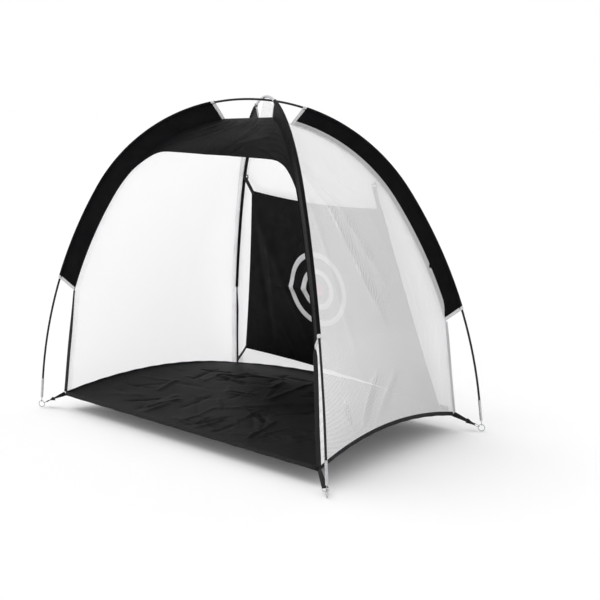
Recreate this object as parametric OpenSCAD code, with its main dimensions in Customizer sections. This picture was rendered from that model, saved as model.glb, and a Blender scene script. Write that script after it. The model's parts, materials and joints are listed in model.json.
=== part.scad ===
// Golf chipping net: two crossed flexible poles carry an open-fronted tent with mesh walls,
// a raised floor sheet and a hanging target. Millimetres. The origin is the centre of the
// footprint on the ground: +X runs to the right along the open front, +Y to the back, +Z up.
// Legs are numbered 0 front left, 1 front right, 2 back right, 3 back left.

/* [Overall size] */
// Overall width across the front foot rings
net_w = 3000; // [2700:20:3300]
// How much narrower the back is than the front
back_taper = 400; // [300:20:500]
// Overall depth across the foot rings
net_d = 1750; // [1610:20:1930]
// Overall height, to the top of the crown tube
net_h = 2280; // [2100:20:2420]

/* [Poles] */
// Diameter of the glass-fibre rods
rod_d = 15; // [13:0.5:16]
// Diameter of the elastic cord inside the rods
cord_d = 3.4; // [2.6:0.2:4]
// Bend radius of the lower stretch of each pole
lower_r = 3300; // [3100:50:3600]
// Inward lean of the straight end tubes, in degrees
base_lean = 6; // [5:0.5:7]
// Outer diameter of the end tubes, joining sleeves and crown tube
tube_d = 18.5; // [17.5:0.5:21]
// Length of an end tube
tube_l = 146; // [130:2:180]
// Length of the closed lower end of an end tube, which holds the pin
plug_l = 55; // [40:5:70]
// Distance from the crossing to the joint at the top of each leg rod
joint_u = 430; // [390:10:480]
// Length of rod that each joint holds
socket_l = 45; // [30:5:60]

/* [Feet] */
// Outer diameter of a foot ring
ring_d = 50; // [42:1:60]
// Wire diameter of a foot ring
ring_wire = 5; // [4:0.5:6]
// Diameter of the pin in an end tube
pin_d = 5; // [4:0.5:6]
// Height of an end tube's lower end over the top of the ring, along the pole
pin_show = 28; // [24:1:40]
// Length of pin inside an end tube
pin_in = 48; // [30:2:52]
// Wire diameter of the link between ring and strap
link_wire = 4; // [3:0.5:5]
// Distance from the link's straight bar to the far end of its bow, between wire centres
link_l = 36; // [32:1:48]

/* [Webbing] */
// Width of the webbing straps and tapes
web_w = 36; // [25:1:40]
// Thickness of the webbing
web_t = 2; // [1.5:0.1:2.5]
// Length of doubled webbing sewn behind a link
fold_l = 60; // [40:5:80]

/* [Bands] */
// Width of a fabric band, from the pole's axis to its inner edge
band_w = 130; // [110:2:150]
// Thickness of the band cloth
band_t = 2; // [1.6:0.1:2.4]
// Height of the front left band's lower end at the pole
band_low_left = 975; // [930:5:1020]
// Height of the front right band's lower end at the pole
band_low_right = 905; // [860:5:950]
// Height of the back bands' lower ends at the pole
band_low_back = 840; // [790:5:890]
// Distance of the front bands' upper ends from the crossing, at the pole
band_top_front = 350; // [320:5:380]
// Distance of the back bands' upper ends from the crossing, at the pole
band_top_back = 275; // [245:5:300]
// Slant of the lower end, in degrees
slant_low = 20; // [8:1:24]
// Slant of the upper end, in degrees
slant_top = 22; // [10:1:30]
// Width of the white binding on the band ends
trim_w = 22; // [14:1:28]
// Thickness that the binding adds on each face
trim_t = 0.4; // [0.2:0.1:0.5]

/* [Cloth body] */
// Thickness of the mesh walls
mesh_t = 1; // [0.8:0.1:1.2]
// Thickness of the woven cloth of floor, valance and target
cloth_t = 1.2; // [1:0.1:1.4]
// Distance from a pole foot inwards to the floor corner
corner_in = 195; // [170:5:230]
// Height of the floor corners
corner_z = 126; // [110:2:150]
// Height of the hem around the floor
hem_h = 28; // [20:1:34]
// Thickness of the hem
hem_t = 2; // [1.6:0.1:2.4]
// Rise of the hem at the middle of the right and left sides
side_lift = 92; // [60:2:120]
// Rise of the hem at the middle of the back
back_lift = 70; // [40:2:100]
// Inward pull of the hem at the middle of the right and left sides
side_pull = 24; // [0:2:40]
// Sag of the floor sheet at its middle
floor_sag = 88; // [60:2:100]
// Height of the creases in the floor sheet
floor_crease = 7; // [0:1:10]
// Inward sag of the side walls at their middle
wall_sag = 26; // [0:2:40]
// Depth of the folds in the side walls
wall_fold = 6; // [0:1:10]
// Depth of the folds in the valance
valance_fold = 9; // [0:1:12]
// Pole angle at the left end of the valance's lower edge, in degrees above level
valance_left = 54; // [48:1:60]
// Pole angle at the right end of the valance's lower edge, in degrees above level
valance_right = 51; // [45:1:57]
// Pole angle that the valance's curved ends reach down to
valance_tip = 38; // [33:1:44]

/* [Target] */
// Height of the target's hinge line, at the bars of its upper sliders
hinge_z = 1680; // [1630:10:1720]
// Distance of the target's upper left corner from the middle
target_top_left = 595; // [560:5:630]
// Distance of the target's upper right corner from the middle
target_top_right = 700; // [660:5:720]
// Distance of the target's lower left corner from the middle
target_low_left = 885; // [840:5:930]
// Distance of the target's lower right corner from the middle
target_low_right = 1070; // [1030:5:1080]
// Distance from the hinge line down to the target's top corners
target_drop = 138; // [120:2:160]
// How much higher the upper left corner hangs than the upper right one
target_skew_top = 50; // [30:2:70]
// Sag of the target's upper edge at its middle
target_sag = 32; // [10:2:50]
// Mean height of the target's bottom corners
target_z = 228; // [210:2:250]
// How much higher the lower left corner hangs than the lower right one
target_skew_low = 136; // [110:2:150]
// Rise of the target's bottom edge at its middle
target_rise = 30; // [10:2:60]
// Distance of the target's bottom corners in front of the floor corners
target_fore = 96; // [90:2:120]
// Depth of the folds in the target
target_fold = 8; // [0:1:12]
// Outer radius of the outer target ring
ring_out_r = 280; // [250:5:310]
// Outer radius of the inner target ring
ring_in_r = 155; // [130:5:180]
// Width of the target rings
ring_band = 41; // [30:1:50]
// Radius of the bullseye
bull_r = 52; // [40:2:70]
// Thickness of the ring patches
patch_t = 0.8; // [0.5:0.1:1.2]
// Height of the target rings' centre
rings_z = 876; // [840:4:910]
// Width of the sliders on the upper target straps
slider_w = 46; // [44:1:56]
// Height of the sliders, between their bar centres
slider_h = 22; // [18:1:28]
// Diameter of the slider bars
slider_bar = 5; // [4:0.5:6]

/* [Clearances] */
// Gap between sewn pieces
seam_gap = 0.4; // [0.3:0.05:0.6]
// Radial clearance of the rods in tubes and sleeves
rod_clear = 0.1; // [0.05:0.05:0.2]
// Radial clearance of a pin in its end tube
pin_clear = 0.1; // [0.05:0.05:0.15]
// Radial clearance of the elastic cord in the rods
cord_clear = 0.5; // [0.4:0.1:0.7]
// Radial clearance of a bar in a webbing loop
loop_clear = 0.4; // [0.3:0.1:0.6]
// Radial clearance of a pin's eye round the ring wire
eye_clear = 0.7; // [0.5:0.1:0.9]
// Play between a link's bow and the ring
link_play = 1.6; // [1.4:0.1:2]
// Upright gap between the two poles where they cross; their slope there takes up most of it
cross_gap = 0.8; // [0.7:0.1:1]

/* [Hidden] */
$fn = 64;

black = "#26262a";
cloth_black = "#2b2b2f";
white = "#f2f2f2";
silver = "#d4d6d8";

// Feet
ring_mid = (ring_d - ring_wire) / 2;
mid_x = back_taper / 4;
diag_x = (net_w - ring_wire) / 2 - mid_x;
diag_y = (net_d - ring_wire) / 2;
diag_angle = atan2(diag_y, diag_x);
foot_u = norm([diag_x, diag_y]) - ring_mid;
// The poles' middles stand beside the centre line, so the crossing lies behind them
leg_mid = [-mid_x, mid_x, -mid_x, mid_x];
cross_u = [-mid_x, -mid_x, mid_x, mid_x] / cos(diag_angle);
ring_z = ring_d / 2;
eye_z = ring_z + ring_mid;
leg_angle = [180 + diag_angle, 360 - diag_angle, diag_angle, 180 - diag_angle];
foot = [foot_u, eye_z];
lean = [-sin(base_lean), cos(base_lean)];

// Poles: a straight end tube, a lower arc and an upper arc, tangent to each other
tube_low = pin_show;
tube_top = tube_low + tube_l;
arc_foot = foot + tube_top * lean;
arc_c = arc_foot - lower_r * [cos(base_lean), sin(base_lean)];
over_h = net_h - tube_d / 2;
under_h = over_h - tube_d / 2 - rod_d / 2 - cross_gap;
top_h = [under_h, over_h, under_h, over_h];
function upper_r(k) =
    (pow(lower_r, 2) - pow(arc_c[0], 2) - pow(arc_c[1] - top_h[k], 2))
    / (2 * (lower_r + arc_c[1] - top_h[k]));
function upper_c(k) = [0, top_h[k] - upper_r(k)];
function bend_angle(k) = atan2(upper_c(k)[1] - arc_c[1], -arc_c[0]);
function ray(a) = [cos(a), sin(a)];
function pole_pt(k, a) =
    a < bend_angle(k) ? arc_c + lower_r * ray(a) : upper_c(k) + upper_r(k) * ray(a);
function angle_at_z(k, z) =
    let (low = asin((z - arc_c[1]) / lower_r))
    low < bend_angle(k) ? low : asin((z - upper_c(k)[1]) / upper_r(k));
function angle_at_u(k, u) = acos(u / upper_r(k));
function joint_angle(k) = angle_at_u(k, cross_u[k] + joint_u);
function arc_deg(l, r) = l / r * 180 / PI;
rod_bore = cord_d + 2 * cord_clear;
join_step = 0.1;
join_lap = 2;
link_lap = 0.3;

// Bands
tunnel_id = tube_d + 2 * seam_gap;
tunnel_od = tunnel_id + 2 * band_t;
band_low = [band_low_left, band_low_right, band_low_back, band_low_back];
function low_angle(k) = angle_at_z(k, band_low[k]);
function top_angle(k) = angle_at_u(k, cross_u[k] + (k < 2 ? band_top_front : band_top_back));
function low_in_angle(k) = low_angle(k) - arc_deg(band_w * tan(slant_low), lower_r);
function top_in_angle(k) =
    top_angle(k) + arc_deg(band_w * tan(slant_top), upper_r(k) - band_w);
function inner_pt(k, a, lap) = pole_pt(k, a) - (band_w - lap) * ray(a);
cut_reach = 2 * band_w;

// Sewn edges of the cloth body
seam_v = band_t / 2 + trim_t + seam_gap + mesh_t / 2;
seam_lap = 8;
wall_lap = 28;
corner = [foot_u - corner_in, corner_z];
crown_u = cross_u[2] + 34;
crown_z = pole_pt(0, angle_at_u(0, crown_u))[1] - rod_d / 2 - mesh_t - 5 * seam_gap;
lifts = [0, side_lift, back_lift, side_lift];
pulls = [0, side_pull, 0, side_pull];
side_tilt = atan2(back_taper / 2, net_d - ring_wire);
inward = [[0, 1, 0], [-cos(side_tilt), -sin(side_tilt), 0], [0, -1, 0], [cos(side_tilt), -sin(side_tilt), 0]];
corner_sign = [[-1, -1], [1, -1], [1, 1], [-1, 1]];
hem_n = 14;
hem_slope = 4 * back_lift / (2 * corner[0] * cos(diag_angle) - 2 * mid_x);

// Target
tab_rise = 26;
tab_run = 24;
tab_w = 18;
function angle_in_at_z(k, z) = asin((z - upper_c(k)[1]) / (upper_r(k) - band_w));
hinge_u = inner_pt(2, angle_in_at_z(2, hinge_z + tab_rise), 0)[0] - tab_run;
hinge_x = hinge_u * cos(diag_angle) - mid_x;
hinge_y = hinge_u * sin(diag_angle);
low_y = corner[0] * sin(diag_angle) - target_fore;
target_tilt = atan2(low_y - hinge_y, hinge_z - target_z);
target_l = norm([low_y - hinge_y, hinge_z - target_z]);
strap_y = -(slider_bar / 2 + loop_clear);
sheet_y = strap_y + seam_gap + cloth_t / 2;
rings_drop = (hinge_z - rings_z) / cos(target_tilt);
flat_rim = 190;
target_top = [target_top_left, target_top_right];
target_low = [target_low_left, target_low_right];

// ---- shared geometry ----

// A point of leg k: p = [distance out, height], v = distance to the leg's left side
function leg_xyz(k, p, v) =
    [leg_mid[k] + p[0] * cos(leg_angle[k]) - v * sin(leg_angle[k]),
     p[0] * sin(leg_angle[k]) + v * cos(leg_angle[k]),
     p[1]];
function mix(a, b, s) = a + (b - a) * s;
function arch(s) = 4 * s * (1 - s);
function unit(v) = v / norm(v);
function step01(x) = let (c = min(max(x, 0), 1)) c * c * (3 - 2 * c);

// Corner k of the floor, with both sides that meet there inset by i
function floor_corner(k, i) =
    leg_xyz(k, corner, 0)
    - i * [corner_sign[k][0] * (1 - corner_sign[k][1] * sin(side_tilt)) / cos(side_tilt), corner_sign[k][1], 0];
// A point on side k of the floor, inset by i, raised by dz, at the share s from leg k
function side_pt(k, s, i, dz) =
    mix(floor_corner(k, i), floor_corner((k + 1) % 4, i), s)
    + inward[k] * pulls[k] * arch(s) + [0, 0, dz + lifts[k] * arch(s)];

// Closed sheet of thickness t around a grid of points; wrap joins its last column to its first
function grid_normal(g, i, j, wrap) =
    let (n = len(g), m = len(g[0]))
    let (a = g[i][wrap ? (j + m - 1) % m : max(j - 1, 0)])
    let (b = g[i][wrap ? (j + 1) % m : min(j + 1, m - 1)])
    unit(cross(b - a, g[min(i + 1, n - 1)][j] - g[max(i - 1, 0)][j]));

module sheet(g, t, wrap = false) {
    n = len(g);
    m = len(g[0]);
    cells = wrap ? m : m - 1;
    front = [for (i = [0:n - 1]) for (j = [0:m - 1]) g[i][j] + grid_normal(g, i, j, wrap) * t / 2];
    back = [for (i = [0:n - 1]) for (j = [0:m - 1]) g[i][j] - grid_normal(g, i, j, wrap) * t / 2];
    nm = n * m;
    function at(i, j) = i * m + j % m;
    top_faces = [for (i = [0:n - 2]) for (j = [0:cells - 1])
        each [[at(i, j), at(i + 1, j), at(i + 1, j + 1)], [at(i, j), at(i + 1, j + 1), at(i, j + 1)]]];
    low_faces = [for (f = top_faces) [f[2] + nm, f[1] + nm, f[0] + nm]];
    row_ends = [for (i = [0, n - 1]) for (j = [0:cells - 1])
        let (a = at(i, j), b = at(i, j + 1))
        each i == 0 ? [[a, b, b + nm], [a, b + nm, a + nm]] : [[b, a, a + nm], [b, a + nm, b + nm]]];
    col_ends = wrap ? [] : [for (i = [0:n - 2]) for (j = [0, m - 1])
        let (a = at(i, j), b = at(i + 1, j))
        each j == 0 ? [[b, a, a + nm], [b, a + nm, b + nm]] : [[a, b, b + nm], [a, b + nm, a + nm]]];
    polyhedron(concat(front, back), concat(top_faces, low_faces, row_ends, col_ends), convexity = 8);
}

// Puts a piece drawn in a leg's own plane (x out along the leg, z up) at leg k
module at_leg(k) {
    translate([leg_mid[k], 0, 0]) rotate([0, 0, leg_angle[k]]) children();
}

// Sweeps a flat profile along an arc of the leg's plane, from angle a to angle b
module sweep(c, r, a, b) {
    translate([c[0], 0, c[1]]) rotate([90, 0, 0]) rotate([0, 0, a])
        rotate_extrude(angle = b - a, $fn = 128) translate([r, 0]) children();
}

// Sweeps two profiles along the pole of leg k, from angle a to angle b: the first, a hair
// smaller so that the arcs join, along the lower arc, and the second along the upper arc
module along_pole(k, a, b) {
    t = bend_angle(k);
    lap = arc_deg(join_lap, lower_r);
    if (a < t) sweep(arc_c, lower_r, a, min(b, t + lap)) children(0);
    if (b > t) sweep(upper_c(k), upper_r(k), max(a, t), b) children(1);
}

// Puts a piece drawn along +Z on the straight foot of a leg, l above the pin's eye
module on_foot(l) {
    translate([foot[0], 0, foot[1]]) rotate([0, -base_lean, 0]) translate([0, 0, l]) children();
}

module tube_profile(d, bore, grow = 0) {
    difference() {
        circle(d = d + grow);
        circle(d = bore - grow);
    }
}

// ---- poles ----

module end_tube(k) {
    bore = rod_d + 2 * rod_clear;
    color(silver) at_leg(k) on_foot(tube_low) difference() {
        cylinder(d = tube_d, h = tube_l);
        translate([0, 0, -seam_gap]) cylinder(d = pin_d + 2 * pin_clear, h = plug_l + 2 * seam_gap);
        translate([0, 0, plug_l]) cylinder(d = bore, h = tube_l);
    }
}

module leg_rod(k) {
    joint = joint_angle(k);
    over = k % 2 == 1;
    end = over ? joint + arc_deg(socket_l, upper_r(k)) : joint - arc_deg(seam_gap / 2, upper_r(k));
    color(black) at_leg(k) {
        on_foot(tube_low + plug_l) difference() {
            cylinder(d = rod_d, h = tube_l - plug_l + join_lap);
            translate([0, 0, -seam_gap]) cylinder(d = rod_bore, h = tube_l);
        }
        along_pole(k, base_lean, end) {
            tube_profile(rod_d, rod_bore, -join_step);
            tube_profile(rod_d, rod_bore);
        }
    }
}

// Black middle rod of the pole that passes under at the crossing
module crown_rod() {
    end = arc_deg(seam_gap / 2, upper_r(0));
    color(black) at_leg(0)
        sweep(upper_c(0), upper_r(0), joint_angle(0) + end, 180 - joint_angle(2) - end)
            tube_profile(rod_d, rod_bore);
}

// Bright middle tube of the pole that passes over; the leg rods plug into it
module crown_tube() {
    color(silver) at_leg(1)
        sweep(upper_c(1), upper_r(1), joint_angle(1), 180 - joint_angle(3))
            tube_profile(tube_d, rod_d + 2 * rod_clear);
}

module join_sleeve(k) {
    a = joint_angle(k);
    half = arc_deg(socket_l, upper_r(k));
    color(silver) at_leg(k)
        sweep(upper_c(k), upper_r(k), a - half, a + half) tube_profile(tube_d, rod_d + 2 * rod_clear);
}

// Elastic cord through the rods of one pole, from leg k to the leg across
module shock_cord(k) {
    start = tube_low + plug_l + 2;
    t = bend_angle(k);
    color(white) {
        for (leg = [k, k + 2]) {
            at_leg(leg) on_foot(start) cylinder(d = cord_d, h = tube_top - start + join_lap);
            at_leg(leg) sweep(arc_c, lower_r, base_lean, t + arc_deg(join_lap, lower_r))
                circle(d = cord_d - join_step);
        }
        at_leg(k) sweep(upper_c(k), upper_r(k), t, 180 - t) circle(d = cord_d);
    }
}

// ---- feet ----

// Pin that turns in an end tube, with an eye round the ring's wire
module foot_pin(k) {
    eye_r = ring_wire / 2 + eye_clear + pin_d / 2;
    color(silver) at_leg(k) {
        on_foot(eye_r) cylinder(d = pin_d, h = tube_low - eye_r + pin_in);
        translate([foot[0], 0, foot[1]]) rotate([0, 90, 0])
            rotate_extrude() translate([eye_r, 0]) circle(d = pin_d);
    }
}

module foot_ring(k) {
    color(silver) at_leg(k) translate([foot_u, 0, ring_z]) rotate([90, 0, 0])
        rotate_extrude() translate([ring_mid, 0]) circle(d = ring_wire);
}

// The strap's line, from the floor corner to the ring's centre
strap_top = corner + [hem_t / 2 + seam_gap + 0.2, -hem_h / 2];
ring_c = [foot_u, ring_z];
strap_dir = (ring_c - strap_top) / norm(ring_c - strap_top);
strap_drop = atan2(-strap_dir[1], strap_dir[0]);
bow_c = ring_c - (ring_mid - ring_wire / 2 - link_wire / 2 - link_play) * strap_dir;
bar_c = bow_c - link_l * strap_dir;
link_half = web_w / 2 + link_wire / 2 + 1.5;

// Puts a piece in the strap's frame: origin at the link's bar, +X towards the ring
module on_strap(k) {
    at_leg(k) translate([bar_c[0], 0, bar_c[1]]) rotate([0, strap_drop, 0]) children();
}

// D-shaped wire link: a straight bar in the strap's loop and a bow through the ring
module foot_link(k) {
    leg = link_l - link_half;
    color(silver) on_strap(k) {
        rotate([90, 0, 0]) cylinder(d = link_wire - 2 * join_step, h = 2 * link_half, center = true);
        for (side = [-1, 1])
            translate([-link_wire / 2, side * link_half, 0]) rotate([0, 90, 0])
                cylinder(d = link_wire + join_step, h = leg + link_wire / 2 + link_lap);
        translate([leg, 0, 0]) rotate([0, 0, -90])
            rotate_extrude(angle = 180) translate([link_half, 0]) circle(d = link_wire);
    }
}

// Webbing from the floor corner, folded round the link's bar and sewn back on itself
module foot_strap(k) {
    inner = link_wire / 2 + loop_clear;
    l = norm(bar_c - strap_top);
    color(cloth_black) on_strap(k) rotate([90, 0, 0])
        linear_extrude(height = web_w, center = true) difference() {
            union() {
                circle(r = inner + web_t);
                translate([-l, -web_t / 2]) square([l, web_t]);
                translate([-fold_l, -web_t]) square([fold_l, 2 * web_t]);
            }
            circle(r = inner);
        }
}

// ---- bands ----

// Box in the leg's plane from the cut through p: x along the cut, z from z0 to z1 across it
module cut_box(p, a, z0, z1) {
    translate([p[0], 0, p[1]]) rotate([0, -a, 0])
        translate([-cut_reach / 2, -tunnel_od, z0]) cube([2 * cut_reach, 2 * tunnel_od, z1 - z0]);
}

module band_profile(grow, hair = 0) {
    difference() {
        union() {
            circle(d = tunnel_od + 2 * grow + hair, $fn = 48);
            translate([-band_w - hair / 2, -band_t / 2 - grow - hair / 2])
                square([band_w, band_t + 2 * grow + hair]);
        }
        circle(d = tunnel_id - hair, $fn = 48);
    }
}

// Black sleeve on the pole with a flat band that hangs from it on the inner side
module band(k) {
    a = low_angle(k);
    b = top_angle(k);
    spare_low = arc_deg(band_w, lower_r);
    spare_top = arc_deg(band_w * tan(slant_top) * 1.5, upper_r(k));
    edge = trim_w + seam_gap;
    color(cloth_black) at_leg(k) difference() {
        along_pole(k, a - spare_low, min(b + spare_top, 90)) {
            band_profile(0, -join_step);
            band_profile(0);
        }
        cut_box(pole_pt(k, a), 180 + a + slant_low, -edge, cut_reach);
        cut_box(pole_pt(k, b), 180 + b - slant_top, -cut_reach, edge);
    }
}

// White binding round both ends of a band
module band_trim(k) {
    a = low_angle(k);
    b = top_angle(k);
    spare = arc_deg(band_w, lower_r);
    color(white) at_leg(k) {
        intersection() {
            sweep(arc_c, lower_r, a - spare, a + spare) band_profile(trim_t);
            cut_box(pole_pt(k, a), 180 + a + slant_low, -trim_w, 0);
        }
        intersection() {
            sweep(upper_c(k), upper_r(k), b - spare, min(b + spare, 90)) band_profile(trim_t);
            cut_box(pole_pt(k, b), 180 + b - slant_top, 0, trim_w);
        }
    }
}

// Black webbing from a band's lower inner corner down to the floor corner
module corner_tape(k) {
    a = low_angle(k);
    tip = pole_pt(k, a) + (band_w / cos(slant_low)) * ray(180 + a + slant_low);
    down = unit([corner[0], corner_z] - tip);
    top = leg_xyz(k, tip + (seam_gap + web_t / 2) * down, 0);
    low = leg_xyz(k, corner + [0, seam_gap + (k > 1 ? hem_slope * web_w / 2 : 0)], 0);
    half = [web_w / 2, 0, 0];
    depth = [0, web_t / 2, 0];
    color(cloth_black) hull() polyhedron(
        [top - half - depth, top + half - depth, top + half + depth, top - half + depth,
         low - half - depth, low + half - depth, low + half + depth, low - half + depth],
        [[0, 1, 2, 3], [7, 6, 5, 4], [0, 4, 5, 1], [1, 5, 6, 2], [2, 6, 7, 3], [3, 7, 4, 0]]);
}

// ---- cloth body ----

tape_n = 4;
arc_n = 9;
// Side edge of a wall at leg k, from just over the hem up to the band's top, lapped onto the band
function wall_edge(k, lap) =
    let (a = low_in_angle(k), b = top_in_angle(k) - arc_deg(lap * tan(slant_top), upper_r(k) - band_w))
    let (low = inner_pt(k, a, 0))
    concat(
        [for (i = [1:tape_n]) mix(corner, low, i / tape_n)],
        [for (i = [1:arc_n]) inner_pt(k, mix(a, b, i / arc_n), lap)]);

// Mesh wall between leg k and the next one, with an inward sag and soft folds. Its hems lie
// flat on the bands; below them they follow the corner tapes. top closes a gap under the poles
module wall(k, sag, fold, top = []) {
    next = (k + 1) % 4;
    turn_k = concat(wall_edge(k, 0), top);
    turn_n = concat(wall_edge(next, 0), top);
    lap_k = concat(wall_edge(k, wall_lap), top);
    lap_n = concat(wall_edge(next, wall_lap), top);
    rows = len(turn_k);
    side = norm(floor_corner(k, 0) - floor_corner(next, 0));
    out = hem_t / 2 + seam_gap + mesh_t / 2;
    strip = wall_lap / side;
    end = (seam_v + out) / side;
    function across(i, s) =
        mix(leg_xyz(k, turn_k[i], seam_v), leg_xyz(next, turn_n[i], -seam_v), s);
    function soft(s, r) =
        inward[k] * sin(180 * s) * sin(180 * r) * (sag + fold * sin(360 * (2.2 * s + 1.3 * r)))
        + (inward[k] * pulls[k] + [0, 0, lifts[k]]) * arch(s) * pow(max(1 - 2.6 * r, 0), 2);
    function hem_pt(i, leg, p, v, s) = i < tape_n || i >= tape_n + arc_n ? across(i, s) : leg_xyz(leg, p, v);
    function start(i) = i < tape_n ? strip : i >= tape_n + arc_n ? 0.05 : 0;
    flat = [for (j = [0:hem_n]) j / hem_n];
    bottom = concat([end], [for (s = flat) mix(strip, 1 - strip, s)], [1 - end]);
    grid = concat(
        [[for (s = bottom) side_pt(k, s, -out, seam_gap)]],
        [for (i = [0:rows - 1]) concat(
            [hem_pt(i, k, lap_k[i], seam_v, 0)],
            [for (s = flat) let (t = mix(start(i), 1 - start(i), s)) across(i, t) + soft(t, (i + 1) / rows)],
            [hem_pt(i, next, lap_n[i], -seam_v, 1)])]);
    color(white, 0.6) sheet(grid, mesh_t);
}

// Black valance across the top of the open front, with curved ends running down the bands
module valance() {
    rows = 8;
    cols = 16;
    function low_edge(s) =
        let (low = mix(valance_left, valance_right, s))
        low - (low - valance_tip) * pow(abs(2 * s - 1), 9);
    function drape(s, r) =
        valance_fold * sin(180 * s) * (0.4 + 0.6 * r) * sin(360 * (1.6 * r + 0.9 * s))
        + valance_fold * 0.5 * sin(180 * s) * sin(360 * (3 * s + 0.4 * r));
    grid = [for (i = [0:rows]) [for (j = [0:cols])
        let (s = j / cols, r = i / rows)
        let (a = mix(top_in_angle(0), low_edge(s), r), b = mix(top_in_angle(1), low_edge(s), r))
        mix(leg_xyz(0, inner_pt(0, a, seam_lap), seam_v), leg_xyz(1, inner_pt(1, b, seam_lap), -seam_v), s)
        + [0, drape(s, r), 0]]];
    color(cloth_black) sheet(grid, cloth_t);
}

// Floor sheet stretched between the hems, sagging to the middle
module floor_sheet() {
    n = hem_n;
    i = hem_t / 2 + seam_gap;
    dz = -hem_h / 4;
    function crease(s, t) =
        floor_crease * arch(s) * arch(t) * sin(360 * (1.7 * s + 2.1 * t)) * sin(360 * (0.9 * s - 1.3 * t));
    function patch(s, t) =
        mix(side_pt(0, s, i, dz), side_pt(2, 1 - s, i, dz), t)
        + mix(side_pt(3, 1 - t, i, dz), side_pt(1, t, i, dz), s)
        - mix(mix(floor_corner(0, i), floor_corner(1, i), s), mix(floor_corner(3, i), floor_corner(2, i), s), t)
        - [0, 0, dz]
        + [0, 0, crease(s, t) - floor_sag * pow(arch(s) * arch(t), 0.7)];
    grid = [for (a = [0:n]) [for (b = [0:n]) patch(b / n, a / n)]];
    color(cloth_black) sheet(grid, cloth_t);
}

// Tape hem all round the floor
module floor_hem() {
    ring = [for (k = [0:3]) for (j = [0:hem_n - 1]) side_pt(k, j / hem_n, 0, 0)];
    grid = [[for (p = ring) p - [0, 0, hem_h]], ring];
    color(cloth_black) sheet(grid, hem_t, wrap = true);
}

// ---- target ----

// Puts a piece in the target's frame: origin on the hinge line, -Z down the cloth, -Y forward
module on_target() {
    translate([0, hinge_y, hinge_z]) rotate([target_tilt, 0, 0]) children();
}

module target_sheet() {
    n = 14;
    function rings_off(x, z) = step01((norm([x, z + rings_drop]) - ring_out_r - flat_rim) / flat_rim);
    function fold(x, z, rim) =
        target_fold * rings_off(x, z) * step01(rim / flat_rim - 0.7) * sin(0.31 * x + 0.12 * z);
    grid = [for (a = [0:n]) [for (b = [0:n])
        let (s = 2 * b / n - 1, r = a / n, ends = mix(target_top, target_low, r))
        let (top = -target_drop - s * target_skew_top / 2 - target_sag * (1 - s * s))
        let (low = -target_l - s * target_skew_low / 2 + target_rise * (1 - s * s))
        let (x = mix(-ends[0], ends[1], b / n), z = mix(top, low, r))
        [x, sheet_y + fold(x, z, min(ends[1] - x, x + ends[0])), z]]];
    color(cloth_black) on_target() sheet(grid, cloth_t);
}

// Flat patch on the target's front face
module patch(r_out, r_in) {
    face = sheet_y - cloth_t / 2 - 0.1;
    on_target() translate([0, face, -rings_drop]) rotate([90, 0, 0])
        linear_extrude(height = patch_t) difference() {
            circle(r = r_out);
            if (r_in > 0) circle(r = r_in);
        }
}

module target_ring_outer() {
    color(white) patch(ring_out_r, ring_out_r - ring_band);
}

module target_ring_inner() {
    color(white) patch(ring_in_r, ring_in_r - ring_band);
}

module target_bull() {
    color("#c83c50") patch(bull_r, 0);
}

// Webbing tab from a back band's inner edge to the loop that holds a slider's bar
module target_tab(side) {
    k = side > 0 ? 2 : 3;
    inner = slider_bar / 2 + loop_clear;
    edge = inner_pt(k, angle_in_at_z(k, hinge_z + tab_rise), -seam_gap - web_t / 2);
    tip = leg_xyz(k, edge, 0);
    mid = [side * hinge_x, hinge_y, hinge_z + inner + web_t / 2];
    color(cloth_black) difference() {
        union() {
            hull() {
                translate(tip) cube([web_t, web_t / 2, web_t / 2], center = true);
                translate(mid) cube([tab_w, web_t, web_t / 2], center = true);
            }
            translate([side * hinge_x, hinge_y, hinge_z]) rotate([0, 90, 0])
                cylinder(r = inner + web_t, h = tab_w, center = true);
        }
        translate([side * hinge_x, hinge_y, hinge_z]) rotate([0, 90, 0])
            cylinder(r = inner, h = 2 * tab_w, center = true);
    }
}

// Plastic slider: two bars and two cheeks
module target_slider(side) {
    cheek = slider_bar;
    color(black) on_target() translate([side * hinge_x, 0, 0]) {
        for (z = [0, -slider_h])
            translate([0, 0, z]) rotate([0, 90, 0]) cylinder(d = slider_bar, h = slider_w, center = true);
        for (x = [-1, 1])
            translate([x * slider_w / 2, 0, -slider_h / 2])
                cube([cheek, slider_bar, slider_h + slider_bar], center = true);
    }
}

// Webbing from a slider's lower bar to the target's top corner
module target_strap_top(side) {
    inner = slider_bar / 2 + loop_clear;
    w = slider_w - slider_bar - 2 * loop_clear;
    x0 = side * hinge_x;
    x1 = side * (target_top[side > 0 ? 1 : 0] - w / 2);
    end = -target_drop - side * target_skew_top / 2 - fold_l / 2;
    color(cloth_black) on_target() {
        translate([x0, 0, -slider_h]) rotate([0, 90, 0]) difference() {
            cylinder(r = inner + web_t, h = w, center = true);
            cylinder(r = inner, h = 2 * w, center = true);
        }
        translate([0, strap_y, 0]) rotate([90, 0, 0]) linear_extrude(height = web_t)
            polygon([[x0 - w / 2, -slider_h], [x0 + w / 2, -slider_h], [x1 + w / 2, end], [x1 - w / 2, end]]);
    }
}

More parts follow.
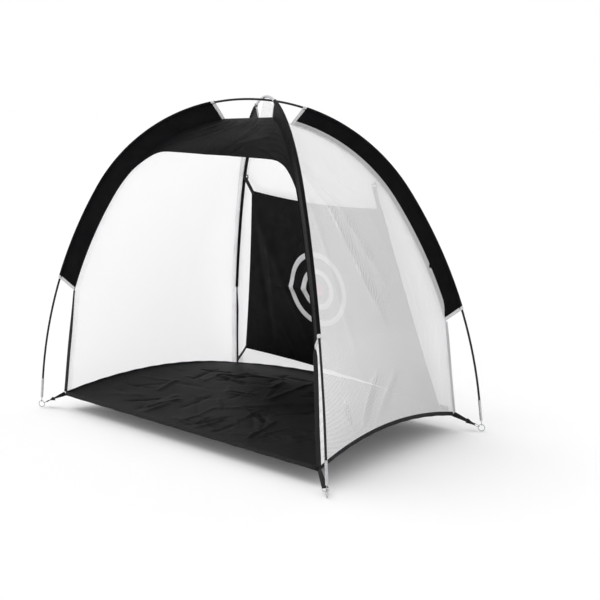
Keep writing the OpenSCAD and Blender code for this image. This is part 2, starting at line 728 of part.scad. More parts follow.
// Webbing from the target's bottom corner back to the floor corner
module target_strap_low(side) {
    k = side > 0 ? 2 : 3;
    w = web_w * 0.8;
    n = 6;
    start_x = side * (target_low[side > 0 ? 1 : 0] - 8);
    skew = side * target_skew_low / 2;
    start_y = low_y + skew * sin(target_tilt) + sheet_y + cloth_t / 2 + web_t / 2 + seam_gap;
    start = [start_x, start_y, target_z + w / 2 - skew * cos(target_tilt)];
    end = floor_corner(k, 0) + [-side * 3, -1.6 * web_t - seam_gap, 2 * seam_gap + w / 2];
    slack = 0.015 * norm(end - start);
    function at(s) = mix(start, end, s) - [0, 0, slack * arch(s)];
    grid = [for (i = [0, 1]) [for (j = [0:n]) at(j / n) + [0, 0, (i - 0.5) * w]]];
    color(cloth_black) sheet(grid, web_t);
}

end_tube(0);  // end_tube_fl
end_tube(1);  // end_tube_fr
end_tube(2);  // end_tube_br
end_tube(3);  // end_tube_bl
leg_rod(0);  // leg_rod_fl
leg_rod(1);  // leg_rod_fr
leg_rod(2);  // leg_rod_br
leg_rod(3);  // leg_rod_bl
crown_rod();
crown_tube();
join_sleeve(0);  // join_sleeve_fl
join_sleeve(2);  // join_sleeve_br
shock_cord(0);  // shock_cord_under
shock_cord(1);  // shock_cord_over
foot_pin(0);  // foot_pin_fl
foot_pin(1);  // foot_pin_fr
foot_pin(2);  // foot_pin_br
foot_pin(3);  // foot_pin_bl
foot_ring(0);  // foot_ring_fl
foot_ring(1);  // foot_ring_fr
foot_ring(2);  // foot_ring_br
foot_ring(3);  // foot_ring_bl
foot_link(0);  // foot_link_fl
foot_link(1);  // foot_link_fr
foot_link(2);  // foot_link_br
foot_link(3);  // foot_link_bl
foot_strap(0);  // foot_strap_fl
foot_strap(1);  // foot_strap_fr
foot_strap(2);  // foot_strap_br
foot_strap(3);  // foot_strap_bl
band(0);  // band_fl
band(1);  // band_fr
band(2);  // band_br
band(3);  // band_bl
band_trim(0);  // band_trim_fl
band_trim(1);  // band_trim_fr
band_trim(2);  // band_trim_br
band_trim(3);  // band_trim_bl
corner_tape(0);  // corner_tape_fl
corner_tape(1);  // corner_tape_fr
corner_tape(2);  // corner_tape_br
corner_tape(3);  // corner_tape_bl
wall(1, wall_sag, wall_fold);  // wall_right
wall(2, 0, 0, [[crown_u, crown_z]]);  // wall_back
wall(3, wall_sag, wall_fold);  // wall_left
valance();
floor_sheet();
floor_hem();
target_sheet();
target_ring_outer();
target_ring_inner();
target_bull();
target_tab(1);  // target_tab_r
target_tab(-1);  // target_tab_l
target_slider(1);  // target_slider_r
target_slider(-1);  // target_slider_l
target_strap_top(1);  // target_strap_top_r
target_strap_top(-1);  // target_strap_top_l
target_strap_low(1);  // target_strap_low_r
target_strap_low(-1);  // target_strap_low_l
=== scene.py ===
"""Golf chipping net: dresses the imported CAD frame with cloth, mesh, webbing, light and a camera.

Lengths are in metres and angles in radians, unless a name ends in _DEG. Legs are numbered
0 front left, 1 front right, 2 back right, 3 back left, as in the frame's node names.
"""

import json
import math

import bpy
import numpy as np
from mathutils import Matrix, Vector


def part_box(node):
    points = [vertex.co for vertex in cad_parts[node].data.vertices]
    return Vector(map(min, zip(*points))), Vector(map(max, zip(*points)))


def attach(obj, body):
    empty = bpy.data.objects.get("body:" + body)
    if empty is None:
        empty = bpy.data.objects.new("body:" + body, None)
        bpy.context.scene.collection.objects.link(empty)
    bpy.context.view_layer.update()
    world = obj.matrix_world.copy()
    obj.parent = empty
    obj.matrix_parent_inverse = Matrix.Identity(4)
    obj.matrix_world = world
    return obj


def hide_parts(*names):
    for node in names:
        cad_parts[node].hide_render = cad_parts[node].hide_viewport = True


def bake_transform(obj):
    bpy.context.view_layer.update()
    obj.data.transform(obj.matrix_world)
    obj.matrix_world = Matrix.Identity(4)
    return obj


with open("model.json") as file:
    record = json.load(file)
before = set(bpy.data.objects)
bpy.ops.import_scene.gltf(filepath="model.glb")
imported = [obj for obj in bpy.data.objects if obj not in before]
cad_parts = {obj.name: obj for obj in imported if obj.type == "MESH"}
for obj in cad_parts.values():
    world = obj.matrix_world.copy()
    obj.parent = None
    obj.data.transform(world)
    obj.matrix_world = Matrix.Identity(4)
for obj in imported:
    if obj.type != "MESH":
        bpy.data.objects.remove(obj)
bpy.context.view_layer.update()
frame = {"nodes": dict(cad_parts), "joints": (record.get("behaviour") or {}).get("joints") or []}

# ---- sizes ----

LEGS = ("fl", "fr", "br", "bl")

# Poles
LOWER_R = 3.3
BASE_LEAN = math.radians(6)
TUBE_TOP = 0.174
TUBE_D = 0.0185
ROD_D = 0.015

# Bands, with one value for each leg where there are four
BAND_W = 0.130
BAND_LOW_Z = (0.975, 0.905, 0.840, 0.840)
BAND_TOP = (0.350, 0.350, 0.275, 0.275)
BAND_V = 0.0008
SLANT_LOW = math.radians(20)
SLANT_TOP = math.radians(22)
TUNNEL_R = TUBE_D / 2 + 0.0022
LAYER_T = 0.0007
NECK_START = 0.001
NECK_RUN = 0.012
NECK_GAP = 0.004
RIPPLE_H = 0.0011
RIPPLE_RATES = (21, 47)
END_GAP = 0.004
TRIM_W = 0.024
TRIM_SWELL = 0.0008
SEAM_TAPE = (0.012, 0.012, 0.016, 0.024)
SEAM_LEAN = 0.98
SEAM_OUT = 0.0015

# Seams and webbing
SEAM_GAP = 0.0004
SEAM_V = 0.0023
SEAM_LAP = 0.008
WEB_W = 0.036
WEB_T = 0.002
LOOPED_T = WEB_T * 0.9
FOLD_L = 0.060
LOOP_CLEAR = 0.0004
STRAP_STEP = 0.02
TAPE_NARROW = (0.5, 0.05, 0.05, 0.3)
TAPE_BOW = 0.002
FOOT_STRAP_T = WEB_T * 0.92
STRAP_TWIST = math.radians(72)
TWIST_START = 0.012
TWIST_RUN = 0.05
LINK_BAR_R = 0.002

# Floor and hem
CORNER_IN = 0.195
CORNER_Z = 0.126
CLOTH_T = 0.0009
FLOOR_SAG = 0.088
FLOOR_CREASES = np.array((2.4, 1.5))
HEM_H = 0.028
HEM_T = 0.002
HEM_WOBBLE = 0.0012
SIDE_LIFT = 0.092
BACK_LIFT = 0.070
SIDE_PULL = 0.024

# Walls
WALL_SAG = 0.026
WALL_LAP = 0.028
HEM_RISE = 0.0006
LAP_RISE = 0.0004
CROWN_RUN = 0.034
CROWN_DROP = 0.003

# Valance
VALANCE_LEFT = math.radians(54)
VALANCE_RIGHT = math.radians(51)
VALANCE_TIP = math.radians(38)
VALANCE_FLARE = 16
VALANCE_GAP = 0.002

# Target
TARGET_TOP = (0.595, 0.700)
TARGET_LOW = (0.885, 1.070)
TARGET_DROP = 0.138
TARGET_SKEW_TOP = 0.050
TARGET_SKEW_LOW = 0.136
TARGET_SAG = 0.032
TARGET_RISE = 0.030
TARGET_HOLLOW = 0.012
TARGET_Z = 0.228
TARGET_FORE = 0.096
RINGS_Z = 0.876
RING_OUT_R = 0.280
RING_IN_R = 0.155
RING_BAND = 0.041
BULL_R = 0.052
PATCH_T = 0.0007
PATCH_FORE = 0.0013
SLIDER_W = 0.046
SLIDER_H = 0.022
SLIDER_BAR = 0.005
SLIDER_LOOP_R = SLIDER_BAR / 2 + LOOP_CLEAR + WEB_T / 2
TAB_RISE = 0.026
TAB_W = 0.024
TAB_CLEAR = 0.0016
LOW_STRAP_W = WEB_W * 0.8
LOW_STRAP_IN = 0.008
LOW_STRAP_BACK = 0.002
LOW_STRAP_SLACK = 0.015

# Camera
CAMERA_TARGET = Vector((0.395, 0.0, 0.919))
CAMERA_AZIMUTH_DEG = -45.52
CAMERA_ELEVATION_DEG = 10.10
CAMERA_ROLL_DEG = -0.55
CAMERA_DISTANCE = 8.460
LENS_MM = 75.36
SENSOR_MM = 36.0

# Light: the sky's strength on the object, where the camera sees 1, and a broad sun as the key
SKY_LEVEL = 0.72
KEY_ENERGY = 1.1
KEY_SPREAD = math.radians(50)
KEY_PLACE = (-2.6, -0.6, 6.0)
KEY_AIM = Vector((0, 0, 0.6))
GROUND_REACH = 40
GROUND_COLOR = (0.93, 0.93, 0.93, 1)
GROUND_GLOW = 0.06

# Materials
WHITE = (1, 1, 1, 1)
THREAD_PITCH = 0.0011
THREAD_RELIEF = 0.00025
RIB_PITCHES = (0.0022, 0.0048)
NET_PITCH = 0.0062
NET_OPEN = (0.7, 1.6)
HEM_OPEN = (1.3, 2.1)
NET_RELIEF = 0.0002
NET_THROUGH = 0.45
# Painted light: the white net glows a little, though it is no lamp
NET_PAINTED_GLOW = 0.22
RAMP_FROM = 0.3
RAMP_TO = 0.7

# ---- the frame's own geometry ----

joints = {j["name"]: j for j in frame["joints"]}
feet = [np.array(joints[f"foot_swivel_{leg}"]["pos_m"]) for leg in LEGS]
bars = [np.array(joints[f"link_lift_{leg}"]["pos_m"]) for leg in LEGS]
hinge = np.array(joints["target_swing"]["pos_m"])

middles = [(feet[k] + feet[(k + 2) % 4]) / 2 for k in range(4)]
outward = [(feet[k] - middles[k]) / np.linalg.norm(feet[k] - middles[k]) for k in range(4)]
leftward = [np.array((-d[1], d[0], 0.0)) for d in outward]
FOOT_U = float(np.linalg.norm(feet[0] - middles[0]))
EYE_Z = float(feet[0][2])
CROSS_RUN = abs(float(middles[0][0] / outward[0][0]))
CROSS_U = [-CROSS_RUN, -CROSS_RUN, CROSS_RUN, CROSS_RUN]
UNDER_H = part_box("crown_rod")[1].z - ROD_D / 2
OVER_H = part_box("crown_tube")[1].z - TUBE_D / 2
TOP_H = [UNDER_H, OVER_H, UNDER_H, OVER_H]
corner = np.array((FOOT_U - CORNER_IN, CORNER_Z))
foot = np.array((FOOT_U, EYE_Z))
side_run = np.array((feet[2] - feet[1])[:2])
SIDE_TILT = math.atan2(-side_run[0], side_run[1])


UP = np.array((0, 0, 1.0))
RIGHT = np.array((1.0, 0, 0))


def ray(angle):
    """Unit vector in a leg's plane, outwards and up, for one angle or an array of them."""
    return np.stack([np.cos(angle), np.sin(angle)], -1)


arc_foot = foot + TUBE_TOP * np.array((-math.sin(BASE_LEAN), math.cos(BASE_LEAN)))
ARC_C = arc_foot - LOWER_R * ray(BASE_LEAN)
UPPER_R = [
    (LOWER_R**2 - ARC_C[0] ** 2 - (ARC_C[1] - h) ** 2) / (2 * (LOWER_R + ARC_C[1] - h))
    for h in TOP_H
]
UPPER_C = [np.array((0.0, h - r)) for h, r in zip(TOP_H, UPPER_R)]
BEND = [math.atan2(c[1] - ARC_C[1], -ARC_C[0]) for c in UPPER_C]


def pole_point(k, angle, inward=0.0):
    """Points of leg k's pole, moved inwards across the band, in the leg's plane."""
    angle = np.asarray(angle, float)
    low = ARC_C + (LOWER_R - np.asarray(inward)[..., None]) * ray(angle)
    high = UPPER_C[k] + (UPPER_R[k] - np.asarray(inward)[..., None]) * ray(angle)
    return np.where((angle < BEND[k])[..., None], low, high)


def angle_at_z(k, z):
    """Pole angle of leg k at a height."""
    low = math.asin((z - ARC_C[1]) / LOWER_R)
    return low if low < BEND[k] else math.asin((z - UPPER_C[k][1]) / UPPER_R[k])


def low_angle(k, inward=0.0):
    """Pole angle of a band's lower end, at a distance inwards across the band."""
    return angle_at_z(k, BAND_LOW_Z[k]) - np.asarray(inward) * math.tan(SLANT_LOW) / LOWER_R


def top_angle(k, inward=0.0):
    """Pole angle of a band's upper end, at a distance inwards across the band."""
    start = math.acos((CROSS_U[k] + BAND_TOP[k]) / UPPER_R[k])
    return start + np.asarray(inward) * math.tan(SLANT_TOP) / (UPPER_R[k] - BAND_W)


def leg_point(k, flat, aside=0.0):
    """Points in the row frame from [distance out, height] in leg k's plane, moved to its left."""
    flat = np.asarray(flat, float)
    aside = np.asarray(aside, float)
    place = middles[k] * np.array((1, 1, 0)) + flat[..., :1] * outward[k]
    return place + aside[..., None] * leftward[k] + flat[..., 1:] * UP


def mix(a, b, share):
    """Points from a to b at one share of the way, or at an array of them."""
    share = np.asarray(share, float)
    if share.ndim:
        share = share[..., None]
    return a + (b - a) * share


def arch(share):
    """Zero at both ends of a run and one in its middle."""
    return 4 * share * (1 - share)


def smooth_step(x):
    """Eases from nothing at 0 to one at 1."""
    x = np.clip(x, 0, 1)
    return x * x * (3 - 2 * x)


def spans(rows, columns):
    """Two arrays of shares: along the rows and across the columns of a grid."""
    return np.meshgrid(np.linspace(0, 1, rows + 1), np.linspace(0, 1, columns + 1), indexing="ij")


def ridge(x, y, start, end, width, height):
    """A crease along the line from start to end, sharpest in its middle."""
    start, end = np.array(start, float), np.array(end, float)
    run = end - start
    along = ((x - start[0]) * run[0] + (y - start[1]) * run[1]) / (run @ run)
    off = np.abs((x - start[0]) * run[1] - (y - start[1]) * run[0]) / np.linalg.norm(run)
    fade = smooth_step(along * 5 + 0.5) * smooth_step((1 - along) * 5 + 0.5)
    return height * fade / (1 + (off / width) ** 2)


def crumple(x, y, low, high, seed, count, length, width, height):
    """Many short creases with random places and directions inside the box from low to high."""
    pick = np.random.default_rng(seed)
    total = np.zeros_like(x)
    for _ in range(count):
        start = pick.uniform(low, high)
        turn = pick.uniform(0, math.tau)
        end = start + pick.uniform(0.4, 1) * length * np.array((math.cos(turn), math.sin(turn)))
        rise = height * pick.uniform(-1, 1)
        total += ridge(x, y, start, end, width * pick.uniform(0.5, 1.5), rise)
    return total


# ---- meshes ----

RIBBON_COLUMNS = 6


def grid_normals(points, wrap):
    """Unit normals of a grid of points, its columns closed into a ring when wrap is true."""
    along = np.gradient(points, axis=0) if len(points) > 1 else np.zeros_like(points)
    if wrap:
        across = np.roll(points, -1, axis=1) - np.roll(points, 1, axis=1)
    else:
        across = np.gradient(points, axis=1)
    normal = np.cross(across, along)
    return normal / np.maximum(np.linalg.norm(normal, axis=-1, keepdims=True), 1e-9)


def run_lengths(points, axis):
    """Mean distance along a grid's axis, which the weave of its material follows."""
    steps = np.linalg.norm(np.diff(points, axis=axis), axis=-1).mean(axis=1 - axis)
    return np.concatenate([[0], np.cumsum(steps)])


def grid_faces(rows, columns, wrap, first=0, flip=False):
    """Quads of a grid of points, with the columns of each face's corners."""
    faces, places = [], []
    for i in range(rows - 1):
        for j in range(columns if wrap else columns - 1):
            quad = [(i, j), (i + 1, j), (i + 1, j + 1), (i, j + 1)]
            quad = quad[::-1] if flip else quad
            faces.append([first + a * columns + b % columns for a, b in quad])
            places.append(quad)
    return faces, places


def rim_faces(rows, columns, wrap):
    """Quads that close the edges between the two layers of a thick grid."""
    layer = rows * columns
    rims, places = [], []

    def add(a, b):
        ids = [p * columns + q % columns for p, q in (a, b)]
        rims.append([ids[0], ids[1], ids[1] + layer, ids[0] + layer])
        places.append([a, b, b, a])

    for j in range(columns if wrap else columns - 1):
        add((0, j), (0, j + 1))
        add((rows - 1, j + 1), (rows - 1, j))
    if not wrap:
        for i in range(rows - 1):
            add((i + 1, 0), (i, 0))
            add((i, columns - 1), (i + 1, columns - 1))
    return rims, places


def cloth(name, points, material, thick=0.0, wrap=False, body="net", replaced=()):
    """A piece of cloth through a grid of points, of one layer, or closed with two and a rim."""
    points = np.asarray(points, float)
    rows, columns = points.shape[:2]
    faces, places = grid_faces(rows, columns, wrap)
    vertices = points.reshape(-1, 3)
    if thick:
        shift = grid_normals(points, wrap) * thick / 2
        layers = (points + shift, points - shift)
        vertices = np.concatenate([side.reshape(-1, 3) for side in layers])
        back, back_places = grid_faces(rows, columns, wrap, rows * columns, flip=True)
        rims, rim_places = rim_faces(rows, columns, wrap)
        faces += back + rims
        places += back_places + rim_places
    mesh = bpy.data.meshes.new(name)
    mesh.from_pydata(vertices.tolist(), [], faces)
    down, over = run_lengths(points, 0), run_lengths(points, 1)
    if wrap:
        over = np.append(over, over[-1] + (over[-1] - over[-2] if columns > 1 else 0))
    layer = mesh.uv_layers.new(name="cloth")
    flat = [(over[j], down[i]) for quad in places for i, j in quad]
    layer.data.foreach_set("uv", np.array(flat, float).reshape(-1))
    mesh.polygons.foreach_set("use_smooth", [True] * len(mesh.polygons))
    mesh.materials.append(material)
    mesh.update()
    piece = bpy.data.objects.new(name, mesh)
    bpy.context.scene.collection.objects.link(piece)
    if body:
        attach(piece, body)
    if replaced:
        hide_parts(*replaced)
    return piece


def ribbon(path, half_width):
    """Grid of a flat strap: its rows follow the path, and its columns run across it."""
    across = np.linspace(-1, 1, RIBBON_COLUMNS + 1)
    path = np.asarray(path, float)[:, None, :]
    half = np.asarray(half_width, float)
    half = half[:, None, :] if half.ndim == 2 else half[None, None, :]
    return path + across[None, :, None] * half


def resample(path, step):
    """The same polyline with points about step apart."""
    path = np.asarray(path, float)
    runs = np.concatenate([[0], np.cumsum(np.linalg.norm(np.diff(path, axis=0), axis=1))])
    count = max(2, int(runs[-1] / step) + 1)
    at = np.linspace(0, runs[-1], count)
    return np.stack([np.interp(at, runs, path[:, i]) for i in range(path.shape[1])], -1)


# ---- materials ----


class Nodes:
    """Short calls to build a material's node tree."""

    def __init__(self, name):
        self.material = bpy.data.materials.new(name)
        self.material.use_nodes = True
        self.tree = self.material.node_tree
        self.shader = self.tree.nodes["Principled BSDF"]
        self.place = self.tree.nodes.new("ShaderNodeUVMap").outputs["UV"]

    def add(self, kind, **settings):
        node = self.tree.nodes.new("ShaderNode" + kind)
        for key, value in settings.items():
            setattr(node, key, value)
        return node

    def link(self, source, target):
        self.tree.links.new(source, target)

    def set(self, **sockets):
        for key, value in sockets.items():
            self.shader.inputs[key.replace("_", " ")].default_value = value

    def math(self, operation, a, b=None):
        node = self.add("Math", operation=operation)
        for socket, value in zip(node.inputs, (a, b)):
            if isinstance(value, (int, float)):
                socket.default_value = value
            elif value is not None:
                self.link(value, socket)
        return node.outputs[0]

    def noise(self, scale, detail=4.0, place=None):
        node = self.add("TexNoise")
        node.inputs["Scale"].default_value = scale
        node.inputs["Detail"].default_value = detail
        self.link(place or self.place, node.inputs["Vector"])
        return node.outputs["Fac"]

    def wave(self, pitch, direction):
        """Ridges from -1 to 1 across a direction of the cloth, a pitch apart."""
        dot = self.add("VectorMath", operation="DOT_PRODUCT")
        self.link(self.place, dot.inputs[0])
        dot.inputs[1].default_value = (*direction, 0.0)
        turned = self.math("MULTIPLY", dot.outputs["Value"], math.tau / pitch)
        return self.math("COSINE", turned)

    def blend_colors(self, factor, low, high):
        """Colour between two, after the soft patches of a noise."""
        ramp = self.add("ValToRGB")
        stops = ramp.color_ramp.elements
        for stop, place, color in ((stops[0], RAMP_FROM, low), (stops[1], RAMP_TO, high)):
            stop.position = place
            stop.color = (*color, 1)
        self.link(factor, ramp.inputs["Fac"])
        return ramp.outputs["Color"]

    def color(self, source):
        self.link(source, self.shader.inputs["Base Color"])

    def bump(self, height, distance):
        node = self.add("Bump")
        node.inputs["Distance"].default_value = distance
        node.inputs["Strength"].default_value = 1.0
        self.link(height, node.inputs["Height"])
        self.link(node.outputs["Normal"], self.shader.inputs["Normal"])


def woven(name, low, high, roughness, sheen=0.0):
    """Plain woven cloth, its threads at right angles, with soft patches of lighter wear."""
    n = Nodes(name)
    n.set(Roughness=roughness, Specular_IOR_Level=0.06)
    n.set(Sheen_Weight=sheen, Sheen_Roughness=0.4)
    n.color(n.blend_colors(n.noise(9.0), low, high))
    warp, weft = n.wave(THREAD_PITCH, (1, 0)), n.wave(THREAD_PITCH, (0, 1))
    creased = n.math("MULTIPLY", n.noise(26.0, 6.0), 5.0)
    n.bump(n.math("ADD", n.math("MULTIPLY", warp, weft), creased), THREAD_RELIEF)
    return n.material


def webbing(name, low, high):
    """Narrow webbing with ribs across it and finer lines along it."""
    n = Nodes(name)
    n.set(Roughness=0.6, Sheen_Weight=0.05, Specular_IOR_Level=0.16)
    n.color(n.blend_colors(n.noise(60.0), low, high))
    ribs = n.wave(RIB_PITCHES[0], (0, 1))
    lines = n.math("MULTIPLY", n.wave(RIB_PITCHES[1], (1, 0)), 0.6)
    n.bump(n.math("ADD", ribs, lines), THREAD_RELIEF)
    return n.material


def knitted_net(name, color, opening):
    """White net with six-sided holes, cut by three crossing waves, that lets light through and also
    glows a little as painted light.

    The opening is the pair of wave heights from which a hole starts and at which it is clear.
    """
    n = Nodes(name)
    n.set(Base_Color=(*color, 1), Roughness=0.75, Specular_IOR_Level=0.2)
    # Painted light: a faint white glow makes the net brighter than the lamps and sky make it
    n.set(Emission_Color=WHITE, Emission_Strength=NET_PAINTED_GLOW)
    thirds = [turn * math.tau / 3 for turn in range(3)]
    waves = [n.wave(NET_PITCH, (math.cos(third), math.sin(third))) for third in thirds]
    total = n.math("ADD", n.math("ADD", waves[0], waves[1]), waves[2])
    cover = n.add("MapRange", interpolation_type="SMOOTHSTEP")
    n.link(total, cover.inputs["Value"])
    limits = {"From Min": opening[0], "From Max": opening[1], "To Min": 1.0, "To Max": 0.0}
    for socket, value in limits.items():
        cover.inputs[socket].default_value = value
    n.bump(total, NET_RELIEF)
    through, gap = n.add("BsdfTranslucent"), n.add("BsdfTransparent")
    through.inputs["Color"].default_value = (*color, 1)
    lit, holed = n.add("MixShader"), n.add("MixShader")
    lit.inputs["Fac"].default_value = NET_THROUGH
    n.link(n.shader.outputs["BSDF"], lit.inputs[1])
    n.link(through.outputs["BSDF"], lit.inputs[2])
    n.link(cover.outputs["Result"], holed.inputs["Fac"])
    n.link(gap.outputs["BSDF"], holed.inputs[1])
    n.link(lit.outputs["Shader"], holed.inputs[2])
    n.link(holed.outputs["Shader"], n.tree.nodes["Material Output"].inputs["Surface"])
    n.material.blend_method = "HASHED"
    return n.material


def solid_place(n):
    """Object coordinates, for CAD nodes, which carry no map of their own."""
    return n.add("TexCoord").outputs["Object"]


def drawn_metal(name, low, high, roughness):
    """Bright drawn metal with fine streaks and a little dullness."""
    n = Nodes(name)
    place = solid_place(n)
    n.set(Metallic=1.0, Roughness=roughness)
    n.color(n.blend_colors(n.noise(90.0, 5.0, place), low, high))
    n.bump(n.noise(900.0, 2.0, place), 0.00004)
    return n.material


def moulded(name, low, high, roughness, relief):
    """Plastic or glass fibre: one colour with a fine grain."""
    n = Nodes(name)
    place = solid_place(n)
    n.set(Roughness=roughness, Specular_IOR_Level=0.3)
    n.color(n.blend_colors(n.noise(120.0, 3.0, place), low, high))
    n.bump(n.noise(1400.0, 3.0, place), relief)
    return n.material


oxford = woven("oxford_black", (0.003, 0.003, 0.004), (0.007, 0.007, 0.008), 0.55)
target_cloth = woven("target_black", (0.004, 0.004, 0.005), (0.009, 0.009, 0.010), 0.5)
strapping = webbing("webbing_black", (0.004, 0.004, 0.005), (0.010, 0.010, 0.011))
binding = webbing("binding_white", (0.74, 0.74, 0.75), (0.86, 0.86, 0.87))
net = knitted_net("mesh_white", (0.96, 0.955, 0.965), NET_OPEN)
net_hem = knitted_net("mesh_white_hem", (0.90, 0.895, 0.905), HEM_OPEN)
ring_cloth = woven("ring_white", (0.74, 0.74, 0.75), (0.86, 0.86, 0.87), 0.6, sheen=0.1)
bull_cloth = woven("bull_red", (0.42, 0.02, 0.05), (0.58, 0.04, 0.09), 0.6, sheen=0.1)
aluminium = drawn_metal("silver_tube", (0.42, 0.43, 0.45), (0.58, 0.59, 0.6), 0.3)
steel = drawn_metal("steel_wire", (0.34, 0.35, 0.36), (0.5, 0.51, 0.52), 0.3)
rod = moulded("rod_black", (0.005, 0.005, 0.006), (0.011, 0.011, 0.012), 0.45, 0.00003)
elastic = moulded("elastic_white", (0.6, 0.6, 0.6), (0.75, 0.75, 0.75), 0.8, 0.0002)
plastic = moulded("plastic_black", (0.008, 0.008, 0.009), (0.014, 0.014, 0.015), 0.6, 0.00005)


def paint_frame():
    """Gives each rigid CAD node that stays in view its material."""
    starts = {
        ("end_tube", "crown_tube", "join_sleeve"): aluminium,
        ("foot_pin", "foot_ring", "foot_link"): steel,
        ("leg_rod", "crown_rod"): rod,
        ("shock_cord",): elastic,
        ("target_slider",): plastic,
    }
    for name, node in frame["nodes"].items():
        for start, material in starts.items():
            if name.startswith(start):
                node.data.materials.clear()
                node.data.materials.append(material)
                for face in node.data.polygons:
                    face.material_index = 0


# ---- bands ----

BAND_CELLS = (150, 72)
TRIM_CELLS = (4, 72)
SEAM_CELLS = (89, 6)


def band_section(across):
    """A band folded over its pole: distance inwards and aside, for shares from edge to edge."""
    flat_run = BAND_W - TUNNEL_R
    bend_run = math.pi * TUNNEL_R
    along = (across * 2 - 1) * (flat_run + bend_run)
    turn = np.clip(np.abs(along) / TUNNEL_R, 0, math.pi)
    past = np.maximum(np.abs(along) - bend_run, 0)
    neck = BAND_V + NECK_GAP * (1 - smooth_step((past - NECK_START) / NECK_RUN))
    sleeve = np.maximum(TUNNEL_R * np.sin(turn), BAND_V)
    inward = np.where(past > 0, TUNNEL_R + past, -TUNNEL_R * np.cos(turn))
    return inward, np.sign(along) * np.where(past > 0, neck, sleeve)


def band_ripple(k, angle, inward):
    """Soft ripples of a band's free inner part."""
    away = smooth_step((inward - 0.02) / 0.06)
    coarse, fine = RIPPLE_RATES
    wave = np.sin(angle * coarse + k) + 0.6 * np.sin(angle * fine + 9 * inward + 2 * k)
    return RIPPLE_H * away * wave


def make_band(k):
    """Cloth of a band, a sleeve round the pole with both its layers sewn together inwards of it."""
    down, across = spans(*BAND_CELLS)
    inward, aside = band_section(across)
    low, top = low_angle(k, inward), top_angle(k, inward)
    angle = low + END_GAP + (top - low - 2 * END_GAP) * down
    points = leg_point(k, pole_point(k, angle, inward), aside + band_ripple(k, angle, inward))
    name = f"cloth_band_{LEGS[k]}"
    cloth(name, points, oxford, LAYER_T, replaced=[f"band_{LEGS[k]}"])


def make_seam(k):
    """Narrow black tape sewn along a band's inner edge, over the edges of the net.

    At the back its two halves lean inwards, to lie on the inside of both walls.
    """
    rows, columns = SEAM_CELLS
    end = float(top_angle(k, BAND_W)) - END_GAP
    angle = np.linspace(float(low_angle(k, BAND_W)), end, rows + 1)
    lean = SEAM_LEAN if k > 1 else 0.0
    lines = []
    for aside in np.linspace(-1, 1, columns + 1) * SEAM_TAPE[k] / 2:
        line = pole_point(k, angle, BAND_W + SEAM_OUT + lean * abs(aside))
        lines.append(leg_point(k, line, aside))
    cloth(f"seam_tape_{LEGS[k]}", np.stack(lines, 1), strapping)


def make_trim(k):
    """White binding folded over both ends of a band."""
    name = LEGS[k]
    for end in ("low", "top"):
        down, across = spans(*TRIM_CELLS)
        inward, aside = band_section(across)
        low, top = low_angle(k, inward), top_angle(k, inward)
        radius = LOWER_R if end == "low" else UPPER_R[k]
        width = TRIM_W / radius
        angle = low + width * down if end == "low" else top - width * down
        aside = aside + np.sign(aside) * LAYER_T + band_ripple(k, angle, inward)
        swell = np.where(inward < TUNNEL_R, TRIM_SWELL, 0)
        points = leg_point(k, pole_point(k, angle, inward - swell), aside)
        piece = cloth(f"binding_{end}_{name}", points, binding, LAYER_T)
    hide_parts(f"band_trim_{name}")


# ---- walls ----


def tape_top(k):
    """The lower inner corner of a band, where the corner tape begins, in the leg's plane."""
    return pole_point(k, low_angle(k, BAND_W), BAND_W)


TAPE_ROWS = 24
BAND_ROWS = 72
WALL_COLUMNS = 90
HEM_COLUMNS = 4


def wall_edge(k, lap):
    """Side edge of a wall at leg k, from over the hem up to the band's top, lapped onto it."""
    low = tape_top(k)
    rise = np.linspace(0.02, 1, TAPE_ROWS)
    start = low_angle(k, BAND_W)
    end = top_angle(k, BAND_W) - lap * math.tan(SLANT_TOP) / (UPPER_R[k] - BAND_W)
    climb = np.linspace(0, 1, BAND_ROWS + 1)[1:]
    lapped = BAND_W - lap * smooth_step(climb * BAND_ROWS / 3)
    beside_band = pole_point(k, start + (end - start) * climb, lapped)
    return np.concatenate([mix(corner, low, rise), beside_band])


def floor_corner(k, inset):
    """Corner k of the floor, with both sides that meet there moved in."""
    sign_x = (-1, 1, 1, -1)[k]
    sign_y = (-1, -1, 1, 1)[k]
    run = (1 - sign_y * math.sin(SIDE_TILT)) / math.cos(SIDE_TILT)
    return leg_point(k, corner) - inset * np.array((sign_x * run, sign_y, 0.0))


INWARD = (
    np.array((0, 1.0, 0)),
    np.array((-math.cos(SIDE_TILT), -math.sin(SIDE_TILT), 0)),
    np.array((0, -1.0, 0)),
    np.array((math.cos(SIDE_TILT), -math.sin(SIDE_TILT), 0)),
)
LIFTS = (0.0, SIDE_LIFT, BACK_LIFT, SIDE_LIFT)
PULLS = (0.0, SIDE_PULL, 0.0, SIDE_PULL)
SAGS = (0.0, WALL_SAG, 0.0, WALL_SAG)


def side_point(k, share, inset, rise):
    """Points along side k of the floor, at shares of the way from leg k to the next."""
    straight = mix(floor_corner(k, inset), floor_corner((k + 1) % 4, inset), share)
    lift = np.asarray(LIFTS[k] * arch(share) + rise)
    return straight + arch(share)[..., None] * PULLS[k] * INWARD[k] + lift[..., None] * UP


